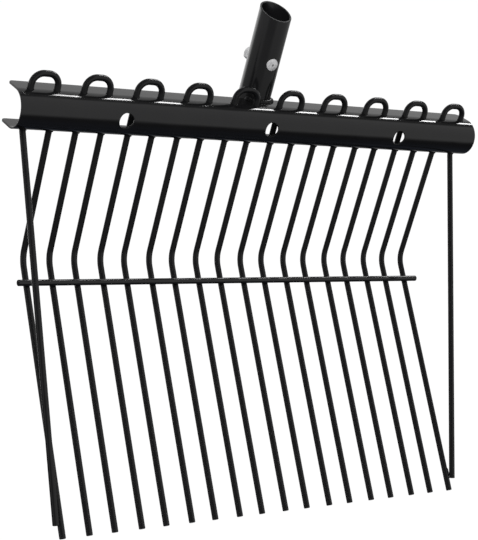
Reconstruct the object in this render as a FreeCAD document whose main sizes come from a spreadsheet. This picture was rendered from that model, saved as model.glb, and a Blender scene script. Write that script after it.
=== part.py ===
import FreeCAD
import Part

import math
import os

import Sketcher

# Head of a manure fork: a bent sheet channel, ten wire hairpins whose legs are the tines, a crossbar laid
# across the inner tines, and a tube socket with two screws for a round handle.
#
# Frame: origin on the socket's axis where its full bore begins, at the low front edge of the slanted mouth,
# +Z up along the socket's axis, +X along the channel, -Y towards the load side, where the tines bend
# forward. Millimetres and degrees.

DIMENSIONS = {
    # Wire and hairpins
    "wire_dia": (5.0, "diameter of the tine wire"),
    "hairpin_count": (10, "number of wire hairpins"),
    "hairpin_pitch": (45.0, "distance between hairpin centres"),
    "end_hairpin_inset": (1.1, "how far the end hairpins stand inward of the pitch"),
    "leg_spacing": (21.6, "distance between the two leg axes of a hairpin"),
    "loop_rise": (12.4, "loop's top axis above the channel's top"),
    "loop_corner_radius": (9.0, "bend radius of the loop's corners at the wire axis"),
    "upper_tine_length": (105.2, "channel's underside to the kink"),
    "lower_tine_length": (215.85, "kink to tip of an inner tine"),
    "kink_angle": (43.28, "turn of an inner tine at the kink"),
    "kink_radius": (19.0, "bend radius of the kink at the wire axis"),
    # Side tines, which run straight from the channel to the tips of their neighbours
    "side_bend_drop": (0.5, "channel's underside to the bend of a side tine"),
    "side_bend_radius": (8.0, "bend radius of a side tine at the wire axis"),
    "side_tip_setback": (10.0, "tip of an inner tine to the tip of its side tine, along the inner tine"),
    "side_tip_lean": (19.3, "direction of the side tip from the inner tine, forward of sideways"),
    "touch_gap": (0.1, "space between two wires that a weld joins"),
    # Channel
    "channel_margin": (10.8, "axis of the outermost leg to the channel's end"),
    "channel_height": (31.2, "height of the channel, and diameter of its round nose"),
    "flange_depth": (15.9, "flat part of a flange, from the nose's centre to the rear edge"),
    "sheet": (1.6, "thickness of the channel's sheet"),
    "flange_corner_radius": (4.0, "rounded rear corners of the flanges"),
    "nose_to_wire": (14.5, "nose of the channel to the plane of the upper tines"),
    "leg_hole_clearance": (0.3, "space round a leg in the flanges"),
    "web_hole_dia": (12.5, "round holes in the web"),
    "web_hole_spacing": (135.0, "distance between the round holes"),
    # Crossbar
    "crossbar_dia": (5.0, "diameter of the crossbar's wire"),
    "crossbar_overhang": (9.4, "axis of the outermost inner tine to the crossbar's end"),
    "crossbar_distance": (21.4, "kink to crossbar, along the lower tines"),
    "bar_weld_dia": (4.6, "diameter of a weld between crossbar and tine"),
    "bar_weld_depth": (1.3, "reach of such a weld to each side of the contact"),
    # Socket
    "axis_to_wires": (21.8, "socket's axis to the plane of the upper tines"),
    "socket_length": (99.76, "length of the full bore, from the mouth's low edge to the foot of the tube"),
    "socket_dia": (27.3, "outer diameter of the tube"),
    "socket_wall": (1.6, "wall of the tube"),
    "mouth_angle": (19.4, "slope of the mouth, higher at the back"),
    "notch_clearance": (0.2, "space between the tube and the flanges' notches"),
    # Screws in the socket, one from the front and one from the back
    "screw_drop": (36.36, "mouth's low edge to the screws' axis"),
    "screw_dia": (6.0, "diameter of the screws"),
    "screw_hole_clearance": (0.2, "space round a screw in the tube"),
    "screw_recess": (0.2, "screw's end short of the bore"),
    "head_dia": (10.3, "diameter of the front screw's low head"),
    "head_rise": (1.0, "height of that head above the tube"),
    "head_dimple_dia": (1.6, "dimple in the middle of the head"),
    "head_dimple_depth": (0.9, "depth of the dimple"),
    "hexagon_width": (10.0, "width of the rear screw's head across its flats"),
    "hexagon_height": (4.2, "height of that head above the tube"),
    "rear_screw_turn": (15.0, "rear screw's place round the tube, from the middle to the left"),
    # Welds
    "foot_weld_size": (2.6, "reach of the beads between tube and flanges"),
    "foot_weld_sweep": (104.0, "angle round the tube that such a bead covers"),
    "foot_weld_end_dia": (6.4, "lump at each end of such a bead"),
    "leg_weld_size": (0.9, "reach of the bead round each leg under the lower flange"),
    "tip_weld_dia": (3.4, "diameter of the bead that joins a side tip to the tine beside it"),
    "tip_weld_length": (8.0, "length of that bead"),
    "tip_weld_setback": (2.0, "bead's end to the side tip"),
    "tip_weld_off": (2.0, "bead's axis behind the line between the two wires"),
    # Construction
    "overrun": (20.0, "how far every cut passes the material"),
}

HALF_TURN = 180.0
QUARTER_TURN = 90.0
HEXAGON_SIDES = 6
X_AXIS = FreeCAD.Vector(1, 0, 0)
Y_AXIS = FreeCAD.Vector(0, 1, 0)
Z_AXIS = FreeCAD.Vector(0, 0, 1)

doc = FreeCAD.newDocument("pitchfork_head")
parts = []


def make_sheet():
    """Put the driving dimensions into the sheet, one row each, with an alias."""
    sheet = doc.addObject("Spreadsheet::Sheet", "Sizes")
    for row, (alias, (number, meaning)) in enumerate(DIMENSIONS.items(), start=1):
        sheet.set(f"A{row}", meaning)
        sheet.set(f"B{row}", str(number))
        sheet.setAlias(f"B{row}", alias)
    doc.recompute()
    return sheet


sizes = make_sheet()


class Size:
    """A size as an expression of the sheet, together with its present value."""

    def __init__(self, text, value):
        self.text = text
        self.value = float(value)

    def _join(self, other, sign, value):
        text = other.text if isinstance(other, Size) else repr(other)
        return Size(f"({self.text} {sign} {text})", value)

    def __add__(self, other):
        return self._join(other, "+", self.value + float(other))

    def __sub__(self, other):
        return self._join(other, "-", self.value - float(other))

    def __mul__(self, other):
        return self._join(other, "*", self.value * float(other))

    def __truediv__(self, other):
        return self._join(other, "/", self.value / float(other))

    def __neg__(self):
        return Size(f"(-1 * {self.text})", -self.value)

    def __float__(self):
        return self.value


def size(alias):
    """The sheet's cell of that alias."""
    return Size(f"Sizes.{alias}", sizes.get(alias))


def plain(number):
    """A number that isn't a size, such as a count or a share, for use among sizes."""
    return Size(repr(number), number)


def sine(angle):
    return Size(f"sin({angle.text})", math.sin(math.radians(angle.value)))


def cosine(angle):
    return Size(f"cos({angle.text})", math.cos(math.radians(angle.value)))


def root(number):
    return Size(f"sqrt({number.text})", math.sqrt(number.value))


# Sizes that several pieces share
zero = plain(0)
wire_radius = size("wire_dia") / 2
half_spacing = size("leg_spacing") / 2
nose_radius = size("channel_height") / 2
tube_radius = size("socket_dia") / 2
bore_radius = tube_radius - size("socket_wall")
wires_y = -size("axis_to_wires")
channel_y = wires_y - size("nose_to_wire") + nose_radius
underside_z = -size("socket_length")
channel_z = underside_z + nose_radius
kink_z = underside_z - size("upper_tine_length")
loop_height = size("upper_tine_length") + size("channel_height") + size("loop_rise")
kink_sine = sine(size("kink_angle"))
kink_cosine = cosine(size("kink_angle"))
screw_z = -size("screw_drop")
hairpin_count = round(size("hairpin_count").value)


def hairpin_x(index):
    """Middle of a hairpin; the two end ones stand a little inward of the pitch."""
    place = size("hairpin_pitch") * (index - (hairpin_count - 1) / 2)
    if index == 0:
        return place + size("end_hairpin_inset")
    if index == hairpin_count - 1:
        return place - size("end_hairpin_inset")
    return place


def leg_positions():
    """The axes of all legs from left to right."""
    places = []
    for index in range(hairpin_count):
        places.append(hairpin_x(index) - half_spacing)
        places.append(hairpin_x(index) + half_spacing)
    return places


channel_half = leg_positions()[-1] + size("channel_margin")
crossbar_half = leg_positions()[-2] + size("crossbar_overhang")


def bind(thing, prop, amount):
    """Tie a property to the sheet."""
    thing.setExpression(prop, amount.text)


def put(thing, x=None, y=None, z=None, turn=None):
    """Place an object; each coordinate that is given is tied to the sheet."""
    if turn is not None:
        thing.Placement = FreeCAD.Placement(FreeCAD.Vector(), turn)
    for axis, amount in (("x", x), ("y", y), ("z", z)):
        if amount is not None:
            bind(thing, f"Placement.Base.{axis}", amount)


def finish(thing, label):
    """Give a sub-part its name and keep it for writing."""
    thing.Label = label
    parts.append(thing)
    return thing


# Sketches


def origin_plane(body, role):
    for feature in body.Origin.OriginFeatures:
        if feature.Role == role:
            return feature
    raise ValueError(role)


def new_sketch(body, name, role, lift=None, shift=None, yaw=None):
    """A sketch on an origin plane: lifted along its normal, shifted up in it, turned about its vertical."""
    sketch = body.newObject("Sketcher::SketchObject", name)
    sketch.AttachmentSupport = (origin_plane(body, role), [""])
    sketch.MapMode = "FlatFace"
    if yaw is not None:
        sketch.AttachmentOffset = FreeCAD.Placement(FreeCAD.Vector(), FreeCAD.Rotation(Y_AXIS, yaw.value))
        bind(sketch, "AttachmentOffset.Rotation.Angle", yaw)
    if lift is not None:
        bind(sketch, "AttachmentOffset.Base.z", lift)
    if shift is not None:
        bind(sketch, "AttachmentOffset.Base.y", shift)
    return sketch


def point(x, y):
    return FreeCAD.Vector(float(x), float(y), 0)


def add_line(sketch, start, end):
    return sketch.addGeometry(Part.LineSegment(start, end), False)


def add_circle(sketch, centre, radius):
    circle = Part.Circle(centre, Z_AXIS, float(radius))
    return sketch.addGeometry(circle, False)


def add_arc(sketch, centre, radius, first, last):
    """An arc from the first to the last angle in degrees, anticlockwise."""
    circle = Part.Circle(centre, Z_AXIS, float(radius))
    arc = Part.ArcOfCircle(circle, math.radians(first), math.radians(last))
    return sketch.addGeometry(arc, False)


def tie(sketch, *parts_of_constraint):
    return sketch.addConstraint(Sketcher.Constraint(*parts_of_constraint))


def measure(sketch, kind, geometry, amount):
    """A radius that follows the sheet."""
    index = tie(sketch, kind, geometry, float(amount))
    bind(sketch, f"Constraints[{index}]", amount)


def locate(sketch, kind, geometry, corner, amount):
    """Distance of a point from the sketch's origin along one axis, with its sign."""
    if float(amount) >= 0:
        index = tie(sketch, kind, -1, 1, geometry, corner, float(amount))
        bind(sketch, f"Constraints[{index}]", amount)
    else:
        index = tie(sketch, kind, geometry, corner, -1, 1, -float(amount))
        bind(sketch, f"Constraints[{index}]", -amount)


def place_circle(sketch, x, y, radius):
    """A round outline at a place measured from the sketch's origin."""
    circle = add_circle(sketch, point(x, y), radius)
    measure(sketch, "Radius", circle, radius)
    locate(sketch, "DistanceX", circle, 3, x)
    locate(sketch, "DistanceY", circle, 3, y)
    return circle


# Wire hairpins


def round_section(body, name, height, x):
    """The wire's section, square to the leg at the given height."""
    sketch = new_sketch(body, name, "XY_Plane", lift=height)
    circle = add_circle(sketch, point(x, 0), wire_radius)
    measure(sketch, "Radius", circle, wire_radius)
    locate(sketch, "DistanceX", circle, 3, x)
    tie(sketch, "PointOnObject", circle, 3, -1)
    return sketch


def loop_path(body):
    """Axis of the loop: two corners and the flat between them."""
    corner = size("loop_corner_radius")
    level = loop_height - corner
    inner = half_spacing - corner
    sketch = new_sketch(body, "LoopPath", "XZ_Plane")
    left = add_arc(sketch, point(-inner, level), corner, QUARTER_TURN, HALF_TURN)
    flat = add_line(sketch, point(-inner, loop_height), point(inner, loop_height))
    right = add_arc(sketch, point(inner, level), corner, 0, QUARTER_TURN)
    tie(sketch, "Tangent", left, 1, flat, 1)
    tie(sketch, "Tangent", flat, 2, right, 2)
    tie(sketch, "Horizontal", flat)
    measure(sketch, "Radius", left, corner)
    tie(sketch, "Equal", left, right)
    tie(sketch, "Horizontal", left, 2, left, 3)
    tie(sketch, "Horizontal", right, 1, right, 3)
    locate(sketch, "DistanceX", left, 2, -half_spacing)
    locate(sketch, "DistanceX", right, 1, half_spacing)
    locate(sketch, "DistanceY", flat, 1, loop_height)
    return sketch


def leg_path(body, name, x, bend_height, radius, reach, drop, yaw):
    """Axis of a leg: down to the bend, round it, and on to the tip, which lies reach ahead and drop below."""
    rise = loop_height - size("loop_corner_radius") - bend_height
    turn = math.atan2(float(reach), float(drop))
    tangent = float(radius) * math.tan(turn / 2)
    sketch = new_sketch(body, name, "YZ_Plane", lift=x, shift=bend_height, yaw=yaw)
    foot = point(-tangent * math.sin(turn), -tangent * math.cos(turn))
    upper = add_line(sketch, point(0, rise), point(0, tangent))
    centre = point(-float(radius), tangent)
    bend = add_arc(sketch, centre, radius, -math.degrees(turn), 0)
    lower = add_line(sketch, foot, point(-float(reach), -float(drop)))
    tie(sketch, "Tangent", upper, 2, bend, 2)
    tie(sketch, "Tangent", bend, 1, lower, 1)
    tie(sketch, "Vertical", upper)
    tie(sketch, "PointOnObject", upper, 1, -2)
    tie(sketch, "PointOnObject", -1, 1, lower)
    measure(sketch, "Radius", bend, radius)
    locate(sketch, "DistanceY", upper, 1, rise)
    locate(sketch, "DistanceX", lower, 2, -reach)
    locate(sketch, "DistanceY", lower, 2, -drop)
    return sketch


def add_pipe(body, name, section, path):
    pipe = body.newObject("PartDesign::AdditivePipe", name)
    pipe.Profile = section
    pipe.Spine = (path, [f"Edge{index + 1}" for index in range(len(path.Shape.Edges))])
    doc.recompute()
    return pipe


def side_tip():
    """Tip of a side tine seen from the kink level below the channel: sideways, ahead and below."""
    lean = size("side_tip_lean")
    distance = size("wire_dia") + size("touch_gap")
    along = size("lower_tine_length") - size("side_tip_setback")
    forward = distance * sine(lean)
    inward = size("leg_spacing") - distance * cosine(lean)
    ahead = along * kink_sine + forward * kink_cosine
    below = along * kink_cosine - forward * kink_sine
    return inward, ahead, below


def inner_leg(body, name, x):
    """An inner tine bends forward at the kink."""
    return leg_path(
        body,
        name + "Path",
        x,
        zero,
        size("kink_radius"),
        size("lower_tine_length") * kink_sine,
        size("lower_tine_length") * kink_cosine,
        None,
    )


def side_leg(body, name, x):
    """The side tine leans inward, so its path's plane is turned about the leg."""
    inward, ahead, below = side_tip()
    bend_height = size("upper_tine_length") - size("side_bend_drop")
    reach = root(inward * inward + ahead * ahead)
    swing = Size(f"atan({(inward / ahead).text})", math.degrees(math.atan2(float(inward), float(ahead))))
    yaw = swing if float(x) < 0 else Size(f"(0 deg - {swing.text})", -swing.value)
    return leg_path(
        body,
        name + "Path",
        x,
        bend_height,
        size("side_bend_radius"),
        reach,
        below + bend_height,
        yaw,
    )


def make_hairpin(index):
    """One bent wire: a loop above the channel and two legs."""
    body = doc.addObject("PartDesign::Body", f"Hairpin{index + 1:02d}")
    level = loop_height - size("loop_corner_radius")
    put(body, hairpin_x(index), wires_y, kink_z)
    section = round_section(body, "LoopSection", level, -half_spacing)
    path = loop_path(body)
    doc.recompute()
    add_pipe(body, "Loop", section, path)
    for name, x, is_side in (
        ("LeftLeg", -half_spacing, index == 0),
        ("RightLeg", half_spacing, index == hairpin_count - 1),
    ):
        section = round_section(body, name + "Section", level, x)
        path = side_leg(body, name, x) if is_side else inner_leg(body, name, x)
        doc.recompute()
        add_pipe(body, name, section, path)
    return finish(body, f"tine_hairpin_{index + 1:02d}")


# Channel


def channel_profile(body):
    """Section of the sheet: round nose, two flat flanges, open at the back."""
    outer = nose_radius
    inner = nose_radius - size("sheet")
    depth = size("flange_depth")
    sketch = new_sketch(body, "ChannelProfile", "YZ_Plane")
    nose = add_arc(sketch, point(0, 0), outer, QUARTER_TURN, HALF_TURN + QUARTER_TURN)
    hollow = add_arc(sketch, point(0, 0), inner, QUARTER_TURN, HALF_TURN + QUARTER_TURN)
    upper_out = add_line(sketch, point(0, outer), point(depth, outer))
    upper_end = add_line(sketch, point(depth, outer), point(depth, inner))
    upper_in = add_line(sketch, point(depth, inner), point(0, inner))
    lower_in = add_line(sketch, point(0, -inner), point(depth, -inner))
    lower_end = add_line(sketch, point(depth, -inner), point(depth, -outer))
    lower_out = add_line(sketch, point(depth, -outer), point(0, -outer))
    tie(sketch, "Coincident", nose, 3, -1, 1)
    tie(sketch, "Coincident", hollow, 3, -1, 1)
    tie(sketch, "Tangent", nose, 1, upper_out, 1)
    tie(sketch, "Coincident", upper_out, 2, upper_end, 1)
    tie(sketch, "Coincident", upper_end, 2, upper_in, 1)
    tie(sketch, "Tangent", upper_in, 2, hollow, 1)
    tie(sketch, "Tangent", hollow, 2, lower_in, 1)
    tie(sketch, "Coincident", lower_in, 2, lower_end, 1)
    tie(sketch, "Coincident", lower_end, 2, lower_out, 1)
    tie(sketch, "Tangent", lower_out, 2, nose, 2)
    for flat in (upper_out, upper_in, lower_in, lower_out):
        tie(sketch, "Horizontal", flat)
    for end in (upper_end, lower_end):
        tie(sketch, "Vertical", end)
    measure(sketch, "Radius", nose, outer)
    measure(sketch, "Radius", hollow, inner)
    locate(sketch, "DistanceX", upper_out, 2, depth)
    locate(sketch, "DistanceX", lower_out, 1, depth)
    return sketch


def add_pocket(body, name, sketch, length, side="One side", reverse=False):
    """Cut a sketch through the body, and make sure that the cut takes material."""
    before = body.Shape.Volume
    pocket = body.newObject("PartDesign::Pocket", name)
    pocket.Profile = sketch
    pocket.SideType = side
    pocket.Reversed = reverse
    bind(pocket, "Length", length)
    doc.recompute()
    if not body.Shape.Volume < before:
        raise RuntimeError(f"{name} cuts nothing")
    return pocket


def rear_corner_edges(shape):
    """The short edges at the rear corners of both flanges."""
    half_length = float(channel_half)
    depth = float(size("flange_depth"))
    names = []
    for index, edge in enumerate(shape.Edges, start=1):
        middle = edge.CenterOfMass
        at_end = math.isclose(abs(middle.x), half_length, rel_tol=1e-9)
        at_rear = math.isclose(middle.y, depth, rel_tol=1e-9)
        if at_end and at_rear:
            names.append(f"Edge{index}")
    return names


def make_channel():
    """The bent sheet that carries everything, with its leg holes, web holes and tube notches."""
    body = doc.addObject("PartDesign::Body", "Channel")
    put(body, None, channel_y, channel_z)
    through = size("channel_height") + size("overrun")
    wire_line = wires_y - channel_y

    pad = body.newObject("PartDesign::Pad", "Sheet")
    pad.Profile = channel_profile(body)
    pad.SideType = "Symmetric"
    bind(pad, "Length", channel_half * 2)
    doc.recompute()

    fillet = body.newObject("PartDesign::Fillet", "RearCorners")
    fillet.Base = (pad, rear_corner_edges(pad.Shape))
    bind(fillet, "Radius", size("flange_corner_radius"))
    doc.recompute()

    holes = new_sketch(body, "LegHoles", "XY_Plane")
    for x in leg_positions():
        place_circle(holes, x, wire_line, wire_radius + size("leg_hole_clearance"))
    add_pocket(body, "LegHolesCut", holes, through * 2, side="Symmetric")

    web = new_sketch(body, "WebHoles", "XZ_Plane")
    for step in (-1, 0, 1):
        circle = add_circle(web, point(size("web_hole_spacing") * step, 0), size("web_hole_dia") / 2)
        measure(web, "Radius", circle, size("web_hole_dia") / 2)
        tie(web, "PointOnObject", circle, 3, -1)
        locate(web, "DistanceX", circle, 3, size("web_hole_spacing") * step)
    add_pocket(body, "WebHolesCut", web, through, reverse=True)

    notch = new_sketch(body, "TubeNotch", "XY_Plane")
    circle = add_circle(notch, point(0, -channel_y), tube_radius + size("notch_clearance"))
    measure(notch, "Radius", circle, tube_radius + size("notch_clearance"))
    tie(notch, "PointOnObject", circle, 3, -2)
    locate(notch, "DistanceY", circle, 3, -channel_y)
    add_pocket(body, "TubeNotches", notch, through * 2, side="Symmetric")
    return finish(body, "head_channel")


# Socket


def make_socket():
    """The tube, cut obliquely at its mouth and drilled for the screws."""
    body = doc.addObject("PartDesign::Body", "Socket")
    mouth_slope = sine(size("mouth_angle")) / cosine(size("mouth_angle"))
    middle = bore_radius * mouth_slope
    reach = tube_radius + size("overrun")
    ring = new_sketch(body, "TubeSection", "XY_Plane", lift=underside_z)
    place_circle(ring, zero, zero, tube_radius)
    place_circle(ring, zero, zero, bore_radius)
    pad = body.newObject("PartDesign::Pad", "Tube")
    pad.Profile = ring
    bind(pad, "Length", size("socket_length") + middle + tube_radius * mouth_slope + size("overrun"))
    doc.recompute()

    mouth = new_sketch(body, "MouthCut", "YZ_Plane")
    low = middle - reach * mouth_slope
    high = middle + reach * mouth_slope
    top = high + size("overrun")
    slope = add_line(mouth, point(-reach, low), point(reach, high))
    rear = add_line(mouth, point(reach, high), point(reach, top))
    roof = add_line(mouth, point(reach, top), point(-reach, top))
    front = add_line(mouth, point(-reach, top), point(-reach, low))
    for first, second in ((slope, rear), (rear, roof), (roof, front), (front, slope)):
        tie(mouth, "Coincident", first, 2, second, 1)
    tie(mouth, "Vertical", rear)
    tie(mouth, "Vertical", front)
    tie(mouth, "Horizontal", roof)
    locate(mouth, "DistanceX", slope, 1, -reach)
    locate(mouth, "DistanceX", slope, 2, reach)
    locate(mouth, "DistanceY", slope, 1, low)
    locate(mouth, "DistanceY", slope, 2, high)
    locate(mouth, "DistanceY", roof, 1, top)
    add_pocket(body, "Mouth", mouth, reach * 2, side="Symmetric")

    hole_radius = size("screw_dia") / 2 + size("screw_hole_clearance")
    rear_turn = size("rear_screw_turn")
    for name, yaw, forward in (("FrontScrewHole", None, True), ("RearScrewHole", rear_turn, False)):
        drill = new_sketch(body, name, "XZ_Plane", yaw=yaw)
        circle = add_circle(drill, point(0, screw_z), hole_radius)
        measure(drill, "Radius", circle, hole_radius)
        tie(drill, "PointOnObject", circle, 3, -2)
        locate(drill, "DistanceY", circle, 3, screw_z)
        add_pocket(body, name + "Cut", drill, reach, reverse=forward)
    return finish(body, "socket_tube")


def cylinder(name, radius, height):
    thing = doc.addObject("Part::Cylinder", name)
    bind(thing, "Radius", radius)
    bind(thing, "Height", height)
    return thing


def cut(name, base, tool):
    thing = doc.addObject("Part::Cut", name)
    thing.Base = base
    thing.Tool = tool
    return thing


def fuse(name, shapes):
    thing = doc.addObject("Part::MultiFuse", name)
    thing.Shapes = shapes
    return thing


def tube_envelope(name):
    """The tube's outer cylinder, filled, for cutting what lies against it."""
    envelope = cylinder(name, tube_radius, size("socket_length") + size("overrun"))
    put(envelope, None, None, underside_z - size("overrun") / 2)
    return envelope


def make_front_screw():
    """Screw at the front of the tube; its low round head follows the tube's surface."""
    backwards = FreeCAD.Rotation(X_AXIS, -QUARTER_TURN)
    head_y = -tube_radius - size("head_rise")
    head = cylinder("FrontHeadBlank", size("head_dia") / 2, size("head_rise") + tube_radius / 2)
    put(head, None, head_y, screw_z, backwards)
    seated = cut("FrontHeadSeated", head, tube_envelope("FrontHeadSeat"))
    dimple = cylinder("FrontDimple", size("head_dimple_dia") / 2, size("head_dimple_depth") * 2)
    put(dimple, None, head_y - size("head_dimple_depth"), screw_z, backwards)
    dimpled = cut("FrontHead", seated, dimple)
    shank = cylinder("FrontShank", size("screw_dia") / 2, size("socket_wall") - size("screw_recess"))
    put(shank, None, -tube_radius, screw_z, backwards)
    return finish(fuse("FrontScrew", [dimpled, shank]), "socket_screw_front")


def make_rear_screw():
    """Screw at the back of the tube: a hexagon head, a corner upwards, and a shank that ends in the wall."""
    turn = size("rear_screw_turn")
    outwards = FreeCAD.Rotation(Z_AXIS, turn.value) * FreeCAD.Rotation(X_AXIS, -QUARTER_TURN)
    corner_up = outwards * FreeCAD.Rotation(Z_AXIS, QUARTER_TURN)
    sunk = size("socket_wall") / 2
    seat = tube_radius - sunk
    blank = doc.addObject("Part::Prism", "RearHexagon")
    blank.Polygon = HEXAGON_SIDES
    bind(blank, "Circumradius", size("hexagon_width") / 2 / cosine(plain(HALF_TURN / HEXAGON_SIDES)))
    bind(blank, "Height", size("hexagon_height") + sunk)
    put(blank, -seat * sine(turn), seat * cosine(turn), screw_z, corner_up)
    seated = cut("RearHeadSeated", blank, tube_envelope("RearHeadSeat"))
    shank = cylinder("RearShank", size("screw_dia") / 2, size("socket_wall") - size("screw_recess"))
    start = bore_radius + size("screw_recess")
    put(shank, -start * sine(turn), start * cosine(turn), screw_z, outwards)
    return finish(fuse("RearScrew", [seated, shank]), "socket_screw_rear")


# Crossbar


def bar_centre():
    """Place of the crossbar: ahead of the lower tines, touching them."""
    along = size("crossbar_distance")
    off = wire_radius + size("crossbar_dia") / 2 + size("touch_gap")
    y = wires_y - along * kink_sine - off * kink_cosine
    z = kink_z - along * kink_cosine + off * kink_sine
    return y, z


def make_crossbar():
    bar = cylinder("CrossbarWire", size("crossbar_dia") / 2, crossbar_half * 2)
    y, z = bar_centre()
    put(bar, -crossbar_half, y, z, FreeCAD.Rotation(Y_AXIS, QUARTER_TURN))
    return finish(bar, "crossbar")


# Welds


def foot_weld(name, label, seat_z):
    """Bead where the tube stands on a flange: a quarter round, with a lump at each end."""
    sweep = size("foot_weld_sweep")
    bead = doc.addObject("Part::Torus", name + "Bead")
    bind(bead, "Radius1", tube_radius)
    bind(bead, "Radius2", size("foot_weld_size"))
    bind(bead, "Angle3", sweep)
    start = FreeCAD.Rotation(Z_AXIS, -QUARTER_TURN - sweep.value / 2)
    put(bead, None, None, seat_z, start)
    pieces = [bead]
    for side, sign in (("Left", -1), ("Right", 1)):
        lump = doc.addObject("Part::Sphere", name + side)
        bind(lump, "Radius", size("foot_weld_end_dia") / 2)
        x = tube_radius * sine(sweep / 2) * sign
        put(lump, x, -tube_radius * cosine(sweep / 2), seat_z)
        pieces.append(lump)
    outside = cut(name + "Outside", fuse(name + "Blank", pieces), tube_envelope(name + "Tube"))
    floor = doc.addObject("Part::Box", name + "Floor")
    for prop in ("Length", "Width", "Height"):
        bind(floor, prop, (tube_radius + size("overrun")) * 2)
    reach = tube_radius + size("overrun")
    put(floor, -reach, -reach, seat_z - reach * 2)
    return finish(cut(name, outside, floor), label)


def weld_group(name, label, beads):
    """Several beads of one kind as separate solids in one sub-part."""
    group = doc.addObject("Part::Feature", name)
    group.Shape = Part.makeCompound(beads)
    return finish(group, label)


def make_leg_welds(hairpins):
    """A ring of weld round each leg, under the lower flange."""
    reach = float(size("leg_weld_size"))
    radius = float(wire_radius)
    y = float(wires_y)
    z = float(underside_z)
    width = 2 * (radius + reach)
    beads = []
    for index, x in enumerate(leg_positions()):
        place = FreeCAD.Vector(float(x), y, z)
        ring = Part.makeTorus(radius, reach, place, Z_AXIS)
        roof = Part.makeBox(2 * width, 2 * width, width, place - FreeCAD.Vector(width, width, 0))
        beads.append(ring.cut(roof).cut(hairpins[index // 2].Shape))
    return weld_group("LegWelds", "leg_welds", beads)


def make_crossbar_welds(hairpins, bar):
    """A weld between the crossbar and each inner tine, cut by both wires."""
    along = size("crossbar_distance").value
    normal = FreeCAD.Vector(0, -kink_cosine.value, kink_sine.value)
    down = FreeCAD.Vector(0, -kink_sine.value, -kink_cosine.value)
    contact_off = wire_radius.value + size("touch_gap").value / 2
    depth = size("bar_weld_depth").value
    kink = FreeCAD.Vector(0, wires_y.value, kink_z.value)
    beads = []
    for index, x in list(enumerate(leg_positions()))[1:-1]:
        contact = kink + down * along + normal * contact_off + FreeCAD.Vector(x.value, 0, 0)
        plug = Part.makeCylinder(size("bar_weld_dia").value / 2, 2 * depth, contact - normal * depth, normal)
        beads.append(plug.cut(hairpins[index // 2].Shape).cut(bar.Shape))
    return weld_group("CrossbarWelds", "crossbar_welds", beads)


def make_tip_welds(hairpins):
    """A bead in the groove behind each side tip, where it lies against the inner tine."""
    lean = size("side_tip_lean")
    half_gap = (size("wire_dia") + size("touch_gap")) / 2
    start = size("lower_tine_length") - size("side_tip_setback") - size("tip_weld_setback")
    along = start - size("tip_weld_length")
    off = size("tip_weld_off")
    forward = half_gap * sine(lean) - off * cosine(lean)
    sideways = half_gap * cosine(lean) + off * sine(lean)
    y = wires_y - along * kink_sine - forward * kink_cosine
    z = kink_z - along * kink_cosine + forward * kink_sine
    down = FreeCAD.Vector(0, -kink_sine.value, -kink_cosine.value)
    radius = size("tip_weld_dia").value / 2
    length = size("tip_weld_length").value
    x = (leg_positions()[-2] + sideways).value
    beads = []
    for sign, hairpin in ((-1, hairpins[0]), (1, hairpins[-1])):
        bead = Part.makeCylinder(radius, length, FreeCAD.Vector(sign * x, y.value, z.value), down)
        beads.append(bead.cut(hairpin.Shape))
    return weld_group("TipWelds", "tip_welds", beads)


def check_states():
    """Stop if any object failed to build."""
    for thing in doc.Objects:
        if "Invalid" in thing.State or "Error" in thing.State:
            raise RuntimeError(f"{thing.Name} is {thing.State}")
    for thing in parts:
        if thing.Shape.isNull() or not thing.Shape.isValid():
            raise RuntimeError(f"{thing.Label} has no valid shape")


def write_parts():
    os.makedirs("parts", exist_ok=True)
    for thing in parts:
        thing.Shape.exportStep(f"parts/{thing.Label}.step")
        solids = len(thing.Shape.Solids)
        print(f"{thing.Label}: {solids} solids, {thing.Shape.Volume:.1f} mm3, {len(thing.Shape.Faces)} faces")


make_channel()
tine_hairpins = [make_hairpin(index) for index in range(hairpin_count)]
crossbar = make_crossbar()
make_socket()
make_front_screw()
make_rear_screw()
foot_weld("UpperFootWeld", "socket_weld_upper", underside_z + size("channel_height"))
foot_weld("LowerFootWeld", "socket_weld_lower", underside_z + size("sheet"))
doc.recompute()
make_leg_welds(tine_hairpins)
make_crossbar_welds(tine_hairpins, crossbar)
make_tip_welds(tine_hairpins)
doc.recompute()
check_states()
write_parts()
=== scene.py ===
"""Looks of a manure fork's head: a bent sheet channel, ten wire hairpins, a crossbar and a tube socket.

The frame is the construction's own: origin on the socket's axis at the low front edge of its mouth, +Z up
along that axis, +X along the channel, -Y towards the load. Metres and radians throughout.
"""

import logging
import math
from collections.abc import Callable, Mapping, Sequence
from dataclasses import dataclass, field
from enum import Enum

import bpy
from mathutils import Matrix, Vector
from mathutils.geometry import delaunay_2d_cdt

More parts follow.
